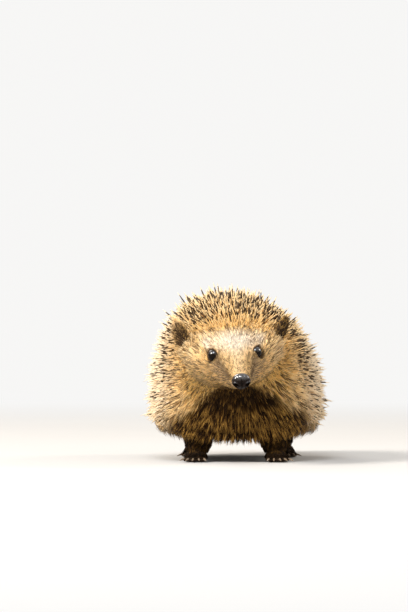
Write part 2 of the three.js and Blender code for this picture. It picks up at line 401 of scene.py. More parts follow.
class Value:
    """A node's output that does arithmetic by adding Math nodes."""

    def __init__(self, nodes, socket):
        self.nodes, self.socket = nodes, socket

    def _math(self, operation, *values):
        return self.nodes.node("Math", {"operation": operation}, dict(enumerate(values)))

    def __add__(self, other):
        return self._math("ADD", self, other)

    def __sub__(self, other):
        return self._math("SUBTRACT", self, other)

    def __rsub__(self, other):
        return self._math("SUBTRACT", other, self)

    def __mul__(self, other):
        return self._math("MULTIPLY", self, other)

    def __gt__(self, other):
        return self._math("GREATER_THAN", self, other)

    __radd__, __rmul__ = __add__, __mul__


class Nodes:
    """The nodes of a material or a world, and shorthands for the kinds that are used here."""

    def __init__(self, owner):
        owner.use_nodes = True
        self.tree = owner.node_tree

    def node(self, kind, settings=None, sockets=None, out=0):
        made = self.tree.nodes.new("ShaderNode" + kind)
        for name, value in (settings or {}).items():
            setattr(made, name, value)
        for name, value in (sockets or {}).items():
            self.feed(made.inputs[name], value)
        return Value(self, made.outputs[out])

    def feed(self, socket, value):
        if isinstance(value, Value):
            self.tree.links.new(value.socket, socket)
        elif socket.type == "RGBA" and len(value) == 3:
            socket.default_value = (*value, 1)
        else:
            socket.default_value = value

    def blend(self, a, b, share, mode="MIX"):
        """Colour a turning into colour b as share goes from 0 to 1."""
        settings = {"data_type": "RGBA", "blend_type": mode, "clamp_result": True}
        return self.node("Mix", settings, {0: share, 6: a, 7: b}, out=2)

    def shade(self, colour, amount):
        """A colour made lighter or darker by a factor."""
        lit = self.node("CombineColor", None, {0: amount, 1: amount, 2: amount})
        return self.blend(colour, lit, 1.0, "MULTIPLY")

    def ramp(self, value, low, high):
        """0 below low, 1 above high, smooth between."""
        settings = {"interpolation_type": "SMOOTHSTEP"}
        return self.node("MapRange", settings, {0: value, 1: low, 2: high})

    def place(self):
        return self.node("TexCoord", out="Object")

    def noise(self, scale, detail=3, stretch=(1, 1, 1)):
        place = self.node("Mapping", None, {"Vector": self.place(), "Scale": stretch})
        return self.node("TexNoise", None, {"Vector": place, "Scale": scale, "Detail": detail})

    def number(self, name):
        return self.node("Attribute", {"attribute_name": name}, out="Fac")

    def numbers(self, name):
        whole = self.node("Attribute", {"attribute_name": name}, out="Vector")
        xyz = self.node("SeparateXYZ", None, {0: whole}).socket.node
        return [Value(self, xyz.outputs[k]) for k in range(3)]


class Finish(Nodes):
    """A material, whose nodes feed its shader."""

    def __init__(self, name, roughness, **uniform):
        self.material = bpy.data.materials.new(name)
        super().__init__(self.material)
        self.shader = self.tree.nodes["Principled BSDF"]
        self.shader.inputs["Roughness"].default_value = roughness
        for socket, value in uniform.items():
            self.shader.inputs[socket.replace("_", " ")].default_value = value

    def into(self, name, value):
        self.feed(self.shader.inputs[name], value)

    def bump(self, height, deep, strength):
        sockets = {"Height": height, "Distance": deep, "Strength": strength}
        self.into("Normal", self.node("Bump", None, sockets))


# Colours of the hairs and the skin, as linear light.
GOLD = (0.96, 0.57, 0.17)
CREAM = (0.97, 0.82, 0.68)
SMOKE = (0.13, 0.07, 0.032)
# The chest's dark fur, made darker still as painted shadow under the head.
CHEST_AND_SHADOW = (0.05, 0.018, 0.002)
STRAW = (0.90, 0.66, 0.40)
AMBER = (0.92, 0.52, 0.14)
HIDE = (0.03, 0.016, 0.007)
TIPS = ((0.97, 0.78, 0.50), (0.90, 0.50, 0.12))  # over most of the coat, and on the chest
# The darkest and the lightest of each bare or horny piece.
EYE_TINTS = ((0.002, 0.0015, 0.001), (0.012, 0.006, 0.003))
NOSE_TINTS = ((0.003, 0.002, 0.0015), (0.018, 0.009, 0.006))
HORN_TINTS = ((0.16, 0.10, 0.06), (0.42, 0.32, 0.22))
BRISTLE_TINTS = ((0.02, 0.012, 0.008), (0.10, 0.06, 0.035))
BRISTLE_TIP = (0.25, 0.17, 0.10)
# The spines' shafts and tips where they are plain, straw and golden, and the band between the two.
SHAFTS = ((0.86, 0.56, 0.25), (0.84, 0.62, 0.36), (0.93, 0.56, 0.18))
SPINE_TIPS = ((0.88, 0.64, 0.34), (0.95, 0.78, 0.56), (0.88, 0.58, 0.25))
BAND = (0.03, 0.014, 0.006)


def coat_colour(f):
    """The colours of coat and hair tips that the markings and painted shade give, and the share of bare
    skin and of painted shadow under the chin.
    """
    pale, smudge_and_shade, chest = f.numbers("markings_and_shade")
    straw, crown, bare_and_shade = f.numbers("grounds")
    colour = f.blend(GOLD, STRAW, straw)
    colour = f.blend(colour, AMBER, crown)
    colour = f.blend(colour, CHEST_AND_SHADOW, chest)
    colour = f.blend(colour, CREAM, pale)
    return f.blend(colour, SMOKE, smudge_and_shade), f.blend(TIPS[0], TIPS[1], chest), bare_and_shade


def skin_finish():
    f = Finish("hide", 0.62, Specular_IOR_Level=0.12)
    colour, _, bare_and_shade = coat_colour(f)
    colour = f.shade(colour, 0.35 + 0.35 * f.noise(900, 4))  # it lies in the coat's shade
    f.into("Base Color", f.blend(colour, HIDE, bare_and_shade))
    f.bump(f.noise(1400, 3), 0.0003, 0.6)
    return f.material


def eye_finish():
    f = Finish("wet_black_eye", 0.05, Specular_IOR_Level=0.08, Coat_Roughness=0.02, Coat_IOR=1.8)
    f.into("Coat Weight", f.ramp(f.number("lift"), 0.1, 0.55))  # painted reflection: the clear coat lies only on the upper part, which shines as if under a bright sky
    f.into("Base Color", f.blend(*EYE_TINTS, f.noise(300)))
    return f.material


def nose_finish():
    f = Finish("moist_nose", 0.2, Specular_IOR_Level=0.1, Coat_Roughness=0.08, Coat_IOR=1.9)
    # Painted sheen: the clear coat lies on the top of the pad and on the nostrils' rims, which shine
    # brighter than the rest.
    f.into("Coat Weight", f.ramp(f.number("lift"), 0.3, 0.85))
    grain = f.node("TexVoronoi", None, {"Vector": f.place(), "Scale": 1500}, out="Distance")
    f.into("Base Color", f.blend(*NOSE_TINTS, f.noise(500)))
    f.into("Roughness", 0.08 + 0.2 * f.noise(700))
    f.bump(1 - grain, 0.00014, 0.5)
    return f.material


def claw_finish():
    f = Finish("horn", 0.35)
    streak = f.noise(500, 3, (1, 0.2, 1))
    f.into("Base Color", f.blend(*HORN_TINTS, streak))
    f.bump(streak, 0.0001, 0.5)
    return f.material


# The skin ------------------------------------------------------------------------------------------

CORE_VOXEL, SKIN_VOXEL = 1.3, 1.0
TAIL_REACH = np.array([0.0, -16.0, 3.0])  # how far the tail's root is drawn on into the body
LEG_RISE = 15.0  # and how far up the legs'
SKIN_NODES = ["head", "neck", "trunk", "tail", "nose"]
SKIN_NODES += [f"{kind}_{limb}" for kind in ("leg", "foot") for limb in LEGS]
SKIN_NODES += [f"ear_{side}" for side in SIDES]


def merged_copy(node):
    shell = bmesh.new()
    shell.from_mesh(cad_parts[node].data)
    bmesh.ops.remove_doubles(shell, verts=shell.verts, dist=1e-6)
    return mesh_from(shell, node + "_copy")


def one_surface(meshes, voxel):
    """One closed skin round these overlapping meshes."""
    joined = bmesh.new()
    for mesh in meshes:
        joined.from_mesh(mesh)
    mesh = mesh_from(joined, "joined")
    holder = link_object("holder", mesh)
    wrap = holder.modifiers.new("wrap", "REMESH")
    wrap.mode, wrap.voxel_size, wrap.adaptivity = "VOXEL", voxel * MM, 0
    wrapped = holder.evaluated_get(bpy.context.evaluated_depsgraph_get())
    done = bpy.data.meshes.new_from_object(wrapped)
    bpy.data.objects.remove(holder)
    for used in (mesh, *meshes):
        bpy.data.meshes.remove(used)
    return done


def body_outline():
    """Head, neck and trunk as one surface, which the tips of the coat reach to."""
    nodes = ("head", "neck", "trunk", "nose")
    mesh = one_surface([merged_copy(node) for node in nodes], CORE_VOXEL)
    write_points(mesh, relax(read_points(mesh), edges_of(mesh), 6))
    return mesh


def body_core(outline):
    """The body's outline drawn in from the tips of the coat to the skin."""
    core, edges = outline.copy(), edges_of(outline)
    points = read_points(core)
    normals = unit(relax(read_points(core, "normal"), edges, 12))
    points = points - normals * coat_depth(points, normals)[:, None]
    points = relax(points, edges, 8)
    write_points(core, relax(points, edges, 40, 0.5 * bell(behind_edge(points), 0, 9)))
    return core


def stretched(node, reach, start=0.45):
    """A copy of a limb's mesh whose far part is drawn on by `reach`, so that it enters the body."""
    mesh = merged_copy(node)
    points, way = read_points(mesh), unit(reach)
    run = points @ way
    share = (run - run.min()) / (run.max() - run.min())
    write_points(mesh, points + rise(share, start, 1)[:, None] * reach)
    return mesh


EAR_SIZE = (5.4, 10.6, 1.2)  # half its width and height, and how thick its wall is to each side
EAR_SCALE = {"left": 0.84, "right": 1.0}  # the left one is the more hidden by spines
EAR_CUP = 0.055  # how fast the rim curves forward, per millimetre from the middle


def make_ear(side):
    """A cupped round leaf, whose lower end is drawn on into the head."""
    mesh = round_ball(f"leaf_{side}", 40, 28)
    x, y, z = (read_points(mesh) * MM).T
    low = rise(-z, 0.1, 1)
    wall = np.sign(y) * np.sqrt(abs(y)) * EAR_SIZE[2] * (1 + 0.8 * low)
    scale = EAR_SCALE[side]
    x = x * EAR_SIZE[0] * scale * (1 - 0.2 * low) * (1 + 0.3 * rise(z, 0.2, 0.9))
    z = z * EAR_SIZE[1] * scale
    y = wall - EAR_CUP * (x**2 + 0.4 * z**2)
    face, up = EAR_FACE[side], EAR_UP[side]
    points = EARS[side] + np.outer(x, np.cross(up, face)) - np.outer(y, face) + np.outer(z, up)
    inward = -SIDES[side] * 5.0 * LEFT + np.array([0, 3.0, -3.0])
    write_points(mesh, points + np.outer(low, inward))
    return mesh


def make_lid_ball(side):
    """A ball round the eye, from which the lids are made."""
    ball = bmesh.new()
    bmesh.ops.create_icosphere(ball, subdivisions=4, radius=(EYE_RADIUS + LID_THICK) * MM)
    bmesh.ops.translate(ball, verts=ball.verts, vec=Vector(EYES[side]) * MM)
    return mesh_from(ball, f"lids_{side}")


def skin_surface(outline):
    """Body, limbs, tail, ears and balls for the lids, as one closed skin."""
    parts = [body_core(outline)]
    for limb, place in LEGS.items():
        parts.append(stretched(f"leg_{limb}", np.array([-0.1 * place[0], 0, LEG_RISE])))
        parts.append(merged_copy(f"foot_{limb}"))
    parts.append(stretched("tail", TAIL_REACH, 0.5))
    for side in SIDES:
        parts += [make_ear(side), make_lid_ball(side)]
    skin = one_surface(parts, SKIN_VOXEL)
    points, edges = read_points(skin), edges_of(skin)
    thin = np.maximum(bell(ear_gap(points), 0, 9), fall(points[:, 2], 6, 10))
    write_points(skin, relax(points, edges, 5, 0.5 * (1 - 0.75 * thin)))
    return skin


def refine(mesh, near, reach, rounds):
    """Halves the faces within reach of these points, `rounds` times over."""
    shell = bmesh.new()
    shell.from_mesh(mesh)
    for turn in range(rounds):
        limit = reach - 1.5 * turn
        chosen = set()
        for face in shell.faces:
            spot = np.array(face.calc_center_median()) / MM
            if min(np.linalg.norm(spot - place) for place in near) < limit:
                chosen.update(face.edges)
        bmesh.ops.subdivide_edges(shell, edges=list(chosen), cuts=1, use_grid_fill=True)
    bmesh.ops.triangulate(shell, faces=[f for f in shell.faces if len(f.verts) > 4])
    shell.to_mesh(mesh)
    shell.free()
    mesh.update()


def shape_lids(points):
    """Wraps the skin round each eyeball, with a clean edge to the opening."""
    for side in SIDES:
        centre, gaze = EYES[side], GAZE[side]
        r = points - centre
        far = np.linalg.norm(r, axis=1)
        angle, opening = lid_angles(points, side)
        close = far < EYE_RADIUS + 2.5
        lid = EYE_RADIUS + 0.12 + LID_THICK * bell(angle - opening, 6, 22)
        covered = np.where(close & (angle > opening - 3) & (angle < 125), np.maximum(far, lid), far)
        covered = mix(covered, np.minimum(covered, lid), close * fall(angle - opening, 8, 24))
        hollow = rise(opening - angle, 0, 6) * close * (far > 1)
        far = mix(covered, np.minimum(covered, EYE_RADIUS - 1.1), hollow)
        bent = np.radians(np.where(close & (abs(angle - opening) < 1.6), opening, angle))[:, None]
        round_eye = unit(across(r, gaze[None]))
        points = centre + (gaze * np.cos(bent) + round_eye * np.sin(bent)) * far[:, None]
    return points


def shape_mouth(points, normals):
    """The closed mouth, a fine crease under the nose and back along both sides of the muzzle."""
    gap = mouth_gap(points)
    return points - normals * (0.9 * bell(gap, 0, 0.55) - 0.3 * bell(gap, 1.4, 0.6))[:, None]


def make_skin(outline):
    """The skin, with finer faces round the eyes and the mouth."""
    mesh = skin_surface(outline)
    refine(mesh, [*EYES.values(), on_face(0, 4, -3)], 9.5, 2)
    points, edges = read_points(mesh), edges_of(mesh)
    fine = np.maximum(fall(eye_gap(points), 7, 9), fall(distance(points, NOSE), 8, 11))
    points = relax(points, edges, 8, 0.5 * fine)
    points = shape_lids(points)
    write_points(mesh, points)
    points = shape_mouth(points, read_points(mesh, "normal"))
    points[:, 2] = np.maximum(points[:, 2], 0)
    write_points(mesh, points)
    keep_markings(mesh, points)
    add_piece("skin", mesh, skin_finish(), SKIN_NODES)
    return mesh


# Eyes and nose -------------------------------------------------------------------------------------


def make_eye(side, wet):
    """An eyeball, whose cornea stands a little proud of it."""
    ball = bmesh.new()
    bmesh.ops.create_uvsphere(ball, u_segments=64, v_segments=40, radius=EYE_RADIUS * MM)
    gaze = Vector(GAZE[side])
    for vert in ball.verts:
        ahead = max(0.0, vert.co.normalized().dot(gaze))
        vert.co *= 1 + 0.035 * ahead**8
    bmesh.ops.translate(ball, verts=ball.verts, vec=Vector(EYES[side]) * MM)
    mesh = mesh_from(ball, f"eyeball_{side}")
    # Height on the eyeball, which sets where the clear coat's painted reflection lies.
    keep_attribute(mesh, "lift", (read_points(mesh) - EYES[side])[:, 2] / EYE_RADIUS)
    add_piece(f"eyeball_{side}", mesh, wet, (f"eye_{side}",))


NOSE_SIZE = (6.0, 4.2, 5.2)  # half its width, depth and height
NOSTRIL = (3.5, 0.9)  # its middle, out to the side and down from the middle of the pad
# The pad faces more forward than the line from the eyes to the nose does.
PAD_TILT = math.radians(14)
PAD_AHEAD = AHEAD * math.cos(PAD_TILT) + UP * math.sin(PAD_TILT)
PAD_UP = UP * math.cos(PAD_TILT) - AHEAD * math.sin(PAD_TILT)


def make_nose():
    """The pad: a ball drawn into shape, with its middle groove, furrows and nostrils."""
    mesh = round_ball("nose_pad", 128, 84)
    p = read_points(mesh) * MM
    wide, ahead, high = p[:, 0], -p[:, 1], p[:, 2]
    wide = wide * (1 - 0.16 * rise(-high, 0.1, 0.9) + 0.05 * rise(high, 0.2, 0.8))
    ahead = np.sign(ahead) * abs(ahead) ** 0.8
    x, y, z = wide * NOSE_SIZE[0], ahead * NOSE_SIZE[1], high * NOSE_SIZE[2]
    front = rise(ahead, 0.15, 0.75)
    groove = 0.9 * bell(x, 0, 0.42) * fall(z, 2.6, 4.4) * front
    furrows = 0.55 * bell(abs(x), 1.55, 0.4) * rise(z, -1.2, 0.6)
    furrows += 0.45 * bell(abs(x), 3.0, 0.45) * rise(z, 0.2, 1.4)
    side, level = abs(x) - NOSTRIL[0], z + NOSTRIL[1]
    hole = np.hypot(side / 1.35, (level - 0.35 * side) / 1.15)
    slit = bell(side, 1.7, 0.9) * bell(level - 0.5 * (side - 1), 0, 0.55)
    pit = 2.6 * fall(hole, 0.35, 1.1) + 1.3 * slit
    rim = 0.75 * bell(hole, 1.42, 0.34) * (1 - slit)
    y = y - (groove + furrows * front + pit * front) + rim * front
    points = NOSE + np.outer(x, LEFT) + np.outer(y, PAD_AHEAD) + np.outer(z, PAD_UP)
    write_points(mesh, points)
    # Height on the pad, raised on the nostrils' rims, which sets where the clear coat's painted sheen
    # lies.
    keep_attribute(mesh, "lift", high + 0.5 * rim)
    add_piece("nose_pad", mesh, nose_finish())


# The coat ------------------------------------------------------------------------------------------

PATCH = 0.003  # how wide a hair's or spine's own place on its colour map is
MOST_FACES = 190000  # triangles in one piece of the coat
CLEAR_OF_GROUND = 0.2  # no strand comes lower than this
LOCK, TUFT = 6, 20  # hairs that share a lean and a tone, and hairs that share a tone
OFF_CUPS = 0.45  # the share of the hairs over an ear's cup that are drawn back from it


class Surface:
    """A mesh's surface as arrays, for measuring against it."""

    def __init__(self, mesh):
        self.points = read_points(mesh)
        self.normals = unit(relax(read_points(mesh, "normal"), edges_of(mesh), 3))
        mesh.calc_loop_triangles()
        corners = np.empty(len(mesh.loop_triangles) * 3, np.int32)
        mesh.loop_triangles.foreach_get("vertices", corners)
        self.triangles = corners.reshape(-1, 3)
        self.tree = BVHTree.FromPolygons(self.points.tolist(), self.triangles.tolist())

    def scatter(self, density):
        """Roots and normals, spread evenly, with density of them to the square millimetre."""
        corners, normals = self.points[self.triangles], self.normals[self.triangles]
        a, b, c = corners[:, 0], corners[:, 1], corners[:, 2]
        areas = np.linalg.norm(np.cross(b - a, c - a), axis=1) / 2
        total = np.cumsum(areas * density(corners.mean(1), unit(normals.mean(1))))
        count = int(total[-1])
        spots = (np.arange(count) + draw.random(count)) / count * total[-1]
        chosen = np.minimum(np.searchsorted(total, spots), len(total) - 1)
        s, t = np.sqrt(draw.random(count)), draw.random(count)
        shares = np.stack([1 - s, s * (1 - t), s * t], axis=1)[:, :, None]
        return (corners[chosen] * shares).sum(1), unit((normals[chosen] * shares).sum(1))

    def nearest(self, p):
        """The nearest place on the surface, and the way out from there."""
        found = [self.tree.find_nearest(spot) for spot in p.tolist()]
        return np.array([f[0] for f in found]), np.array([f[1] for f in found])

    def reach(self, p, way, most):
        """How far it is from each point, along its way, to the surface."""
        hits = [self.tree.ray_cast(*ray, most)[3] for ray in zip(p.tolist(), way.tolist())]
        return np.array([most if hit is None else hit for hit in hits])

    def hold_in(self, p, room):
        """Points drawn back to within `room` outside the surface."""
        places, out = self.nearest(p)
        return p - out * np.maximum(dot(p - places, out) - room, 0)[:, None]


FLOW_FROM = NOSE + AHEAD * 5 + UP * 1
EYE_FLOW = 5.2  # how near an eye the hairs turn to flow round it


def lie_of_coat(p, n):
    """The way the hairs point: away from the nose over face and chest, back and down behind it."""
    way = unit(p - FLOW_FROM)
    way = mix(way, np.array([0.0, 1.0, -0.45]), rise(p[:, 1], -5, 55)[:, None])
    low = rise(abs(p[:, 0]), 20, 50) * fall(p[:, 2], 22, 60) + 0.3 * fall(p[:, 2], 30, 50)
    way = way + np.outer(0.8 * low, (0, 0, -1))
    way = mix(way, np.array([0.0, -0.35, -1.0]), on_leg(p)[:, None])
    for side in SIDES:
        r = p - EYES[side]
        far, out = np.linalg.norm(r, axis=1), unit(r)
        share = np.minimum((EYE_FLOW / far) ** 3, 1)  # they part as water does before a stone
        way = way * (1 + 0.5 * share)[:, None] - out * (1.5 * share * dot(way, out))[:, None]
        way = way + out * 0.4 * fall(far, 4, 7)[:, None]
        r = p - EARS[side]
        over_ear = unit(unit(across(r, EAR_FACE[side][None])) + 1.2 * EAR_UP[side])
        way = mix(way, over_ear, fall(np.linalg.norm(r, axis=1), 9, 13)[:, None])
    return unit(across(way, n))


def turned(way, n, angle):
    """Directions swung round the normals by some angles, in radians."""
    return way * np.cos(angle)[:, None] + np.cross(n, way) * np.sin(angle)[:, None]


def own_places(p):
    """For each root, the corner of a patch that is its own, on the skin unrolled round the body.

    Roots are ranked along the body and then round it, so that neighbours on the skin are neighbours
    on the map and no two patches overlap."""
    count = len(p)
    run = distance(p, NOSE)
    turn = np.arctan2(p[:, 0] - np.interp(p[:, 1], *MIDLINE), p[:, 2] - BODY_HEART)
    rows = int(np.ceil(np.sqrt(count)))
    row = np.empty(count, int)
    row[np.argsort(run)] = np.arange(count) * rows // count
    order = np.lexsort((turn, row))
    starts = np.searchsorted(row[order], np.arange(rows))
    column = np.empty(count, int)
    column[order] = np.arange(count) - starts[row[order]]
    wide = np.bincount(row, minlength=rows)[row]
    return np.stack([(column + 0.5) / wide, (row + 0.5) / rows], axis=1) - PATCH / 2


def tapered(lines, radii, sides, flat, outward):
    """The points of closed strands along lines of points: rings of them, and one at the far end."""
    ends = np.concatenate([lines[:, :1], lines, lines[:, -1:]], axis=1)
    along = unit(ends[:, 2:] - ends[:, :-2])
    wide = unit(np.cross(along, outward[:, None]))
    thick = np.cross(wide, along)
    turn = 2 * np.pi * (np.arange(sides) + 0.25) / sides
    ring = (
        wide[:, :, None] * np.cos(turn)[:, None] * (1 + flat)
        + thick[:, :, None] * np.sin(turn)[:, None] * (1 - flat)
    )
    rings = lines[:, :, None] + ring * radii[:, :, None, None]
    return np.concatenate([rings[:, :-1].reshape(len(lines), -1, 3), lines[:, -1:]], axis=1)


def strand_faces(sides, stations):
    """One strand's faces as corner numbers and each corner's place round and along the strand."""
    faces, places = [], []
    tip = (len(stations) - 1) * sides
    for k in range(len(stations) - 1):
        for j in range(sides):
            a, b = k * sides + j, k * sides + (j + 1) % sides
            low, high = stations[k], stations[k + 1]
            left, right = j / sides, (j + 1) / sides
            if k < len(stations) - 2:
                faces.append([b, a, a + sides, b + sides])
                places.append([(right, low), (left, low), (left, high), (right, high)])
            else:
                faces.append([b, a, tip])
                places.append([(right, low), (left, low), ((left + right) / 2, high)])
    faces.append(list(range(sides)))
    foot = [(0.5 + 0.4 * math.cos(math.tau * j / sides), 0.1 * j / sides) for j in range(sides)]
    return faces, [*places, foot]


def strands_mesh(name, points, roots, tones, stations, sides):
    """All these strands as one mesh, with the attributes that their finish reads."""
    count, each = points.shape[:2]
    faces, places = strand_faces(sides, stations)
    template = np.concatenate(faces)
    corners = (template + np.arange(count)[:, None] * each).ravel()
    sizes = np.array([len(f) for f in faces])
    starts = np.concatenate([[0], np.cumsum(np.tile(sizes, count))[:-1]])
    mesh = bpy.data.meshes.new(name)
    mesh.vertices.add(count * each)
    mesh.vertices.foreach_set("co", (points * MM).astype(np.float32).ravel())
    mesh.loops.add(len(corners))
    mesh.loops.foreach_set("vertex_index", corners.astype(np.int32))
    mesh.polygons.add(len(starts))
    mesh.polygons.foreach_set("loop_start", starts.astype(np.int32))
    mesh.update(calc_edges=True)
    patches = own_places(roots)[:, None] + PATCH * np.concatenate(places)[None]
    mesh.uv_layers.new(name="OFBake").uv.foreach_set("vector", patches.astype(np.float32).ravel())
    along = np.append(np.repeat(stations[:-1], sides), stations[-1])
    keep_attribute(mesh, "along", np.tile(along, count))
    keep_attribute(mesh, "tone", np.repeat(tones, each))
    keep_markings(mesh, roots, each)
    return mesh


class Strands:
    """Hairs or spines as arrays: where each is rooted, bends and ends, half its thickness, and a
    number from 0 to 1 that tells it from its neighbours."""

    def __init__(self, roots, normals, knees, tips, widths, tones):
        self.roots, self.normals, self.knees = roots, normals, knees
        self.tips, self.widths, self.tones = tips, widths, tones

    def some(self, chosen):
        kept = (self.roots, self.normals, self.knees, self.tips, self.widths, self.tones)
        return Strands(*(values[chosen] for values in kept))

    def curves(self, stations, depth):
        """Points along each, from `depth` inside the skin, towards the knee, to the tip."""
        t = stations[None, :, None]
        start = (self.roots - depth * self.normals)[:, None]
        knees, tips = self.knees[:, None], self.tips[:, None]
        return start * (1 - t) ** 2 + 2 * knees * t * (1 - t) + tips * t**2


def add_strands(name, finish, strands, profile, sides, flat=0.0, depth=0.4):
    """A piece of the coat, or several where it has too many faces for one."""
    stations, shape = np.array(profile).T
    roots, radii = strands.roots, np.outer(strands.widths, shape)
    lines = strands.curves(stations, depth)
    points = tapered(lines, radii, sides, flat, strands.normals)
    points[..., 2] = np.maximum(points[..., 2], CLEAR_OF_GROUND)
    each = 2 * sides * (len(stations) - 2) + sides + sides - 2  # triangles: walls, point and foot
    parts = math.ceil(len(roots) * each / MOST_FACES)
    tones = strands.tones
    for part, chosen in enumerate(np.array_split(np.argsort(roots[:, 0]), parts)):
        label = name if parts == 1 else f"{name}_{part + 1}"
        mesh = strands_mesh(label, points[chosen], roots[chosen], tones[chosen], stations, sides)
        add_piece(label, mesh, finish)


def locks(roots, each):
    """The hairs parted into locks of about so many: for each hair, its lock's middle hair and how
    far off that is."""
    leaders = np.arange(0, len(roots), each)
    tree = KDTree(len(leaders))
    for place, leader in enumerate(leaders):
        tree.insert(roots[leader], place)
    tree.balance()
    found = [tree.find(spot) for spot in roots.tolist()]
    return leaders[[f[1] for f in found]], np.array([f[2] for f in found])


def ranked(values):
    """The same order, spread evenly from 0 to 1."""
    even = np.empty(len(values))
    even[np.argsort(values)] = (np.arange(len(values)) + 0.5) / len(values)
    return even


# Distance from the nose, and the length, half thickness and number to the square millimetre of hairs.
FUR_LENGTH = ([0, 8, 20, 30, 40, 60, 80], [1.5, 2.2, 4.2, 7.5, 12, 15, 17])
FUR_WIDTH = ([0, 8, 20, 45, 80], [0.08, 0.09, 0.12, 0.16, 0.20])
FUR_DENSITY = ([0, 8, 25, 45, 70, 110], [14, 14, 12.5, 8.2, 4.4, 2.4])
# Places along a hair, and the share of its thickness there.
HAIR = [(0, 0.8), (0.35, 1), (0.72, 0.72), (1, 0)]
SHORT_HAIR = [(0, 0.9), (0.5, 0.9), (1, 0)]
FACE_REACH = 46  # how far from the nose the fur of the face goes
HAIRS_SHARE, HAIR_WIDER, SPINES_SHARE = ((1, 1, 1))


def fur_density(p, n):
    """Hairs to the square millimetre of skin."""
    nose = distance(p, NOSE)
    density = np.interp(nose, *FUR_DENSITY)
    density *= 1 - 0.65 * rise(-n[:, 2], 0.4, 0.9) * rise(nose, 45, 60)
    density = mix(density, 0.25, spiny(p))
    density = mix(density, 3.0, on_leg(p))
    density = mix(density, 7, fall(ear_gap(p), 9, 12))
    density *= 1 - 0.6 * ear_front(p)
    density *= rise(p[:, 2], 2.0, 4)
    for side in SIDES:
        angle, opening = lid_angles(p, side)
        on_lids = distance(p, EYES[side]) < EYE_RADIUS + 1.2
        density *= 1 - fall(angle - opening, 0, 4) * on_lids
    density *= 1 - 0.9 * bell(mouth_gap(p), 0, 0.8)
    on_pad = (nose < 5.6) & ((p - NOSE) @ AHEAD > -1.5)
    return HAIRS_SHARE * density * ~on_pad


def fur_length(roots, normals):
    length = np.interp(distance(roots, NOSE), *FUR_LENGTH)
    length = length * (1 - 0.35 * belly_share(roots, normals))
    length = mix(length, 10, spiny(roots))
    length = mix(length, 2.4, fall(ear_gap(roots), 9, 12))
    length = mix(length, 4.0, fall(distance(roots, TAIL), 11, 16))
    length = mix(length, 4.5, on_leg(roots))
    length *= 1 - 0.55 * bell(eye_gap(roots), 4, 2.2)
    low = fall(roots[:, 2], 22, 40) * (1 - on_leg(roots))
    return length * draw.uniform(0.7 - 0.2 * low, 1.2 + 0.2 * low)


def fur_height(roots, normals, length):
    """How far the hairs' tips stand off the skin."""
    height = coat_depth(roots, normals) * draw.uniform(0.5, 1.05, len(roots))
    height = np.minimum(height, 0.8 * length)
    height = mix(height, 0.3 * length, on_leg(roots))
    return mix(height, 0.15 * length, fall(ear_gap(roots), 9, 12))


def combed(roots, normals):
    """The way each hair lies along the skin, not quite as its neighbours do."""
    swing = mix(0.10, 0.13, rise(distance(roots, NOSE), 15, 60))
    way = lie_of_coat(roots, normals)
    return turned(way, normals, draw.normal(0, 1, len(roots)) * swing)


def under_face(roots, normals):
    """How much the hairs are the throat's and the chin's."""
    _, b, u = face_place(roots)
    throat = rise(b, 16, 28) * fall(u, -14, -8) * rise(-normals[:, 2], 0.2, 0.7) * fall(b, 48, 60)
    chin = rise(b, 3, 8) * fall(b, 18, 28) * fall(u, -9, -5) * rise(-normals[:, 2], 0.0, 0.5)
    return throat, chin


def hanging(roots, normals, throat):
    """1 where hairs hang free, past the body's lower edge or under the throat."""
    side_on = fall(abs(normals[:, 2]), 0.5, 0.85)
    hang = side_on * fall(roots[:, 2], 20, 36) * (1 - on_leg(roots))
    return np.maximum(hang, 0.7 * throat)


def laid_tips(ground, normals, ends, height):
    """Tips at these heights over the skin below `ends`, where the hairs' runs along it end."""
    below, _ = ground.nearest(ends)
    outward = unit(mix(normals, unit(ends - below + 2 * normals), 0.5))
    return below + outward * height[:, None]


def free_ways(roots, normals, way, drop, fringe):
    """The way of hairs that leave the skin: up along the ears' fringe, or drawn down by so much."""
    on_left = roots @ LEFT > NOSE @ LEFT
    up_ear = np.where(on_left, EAR_UP["left"][:, None], EAR_UP["right"][:, None]).T
    lie = mix(way, unit(way + up_ear + 0.3 * normals), fringe[:, None])
    return unit(lie + np.outer(drop, (0, 0, -0.5)))


def in_locks(roots, tips, length):
    """Tips drawn together into locks, and tones that are alike in a lock and a tuft."""
    leader, gap = locks(roots, LOCK)
    hold = 0.55 * rise(length, 2, 7) * fall(gap / (length * 0.25 + 0.5), 0.5, 1.5)
    tips = mix(tips, tips[leader] + 0.35 * (roots - roots[leader]), hold[:, None])
    tuft, _ = locks(roots, TUFT)
    count = len(roots)
    tones = 1.3 * draw.random(count)[leader] + 0.8 * draw.random(count)[tuft] + draw.random(count)
    return tips, ranked(tones)


def clear_cups(roots, normals, tips):
    """Tips with some of those that would hide an ear's cup drawn back."""
    for side in SIDES:
        cup = EARS[side] + 3 * EAR_FACE[side] + 2 * EAR_UP[side]
        hides = bell(distance(tips, cup), 0, 6) * (draw.random(len(roots)) < OFF_CUPS)
        tips = mix(tips, roots + normals, (0.8 * hides)[:, None])
    return tips


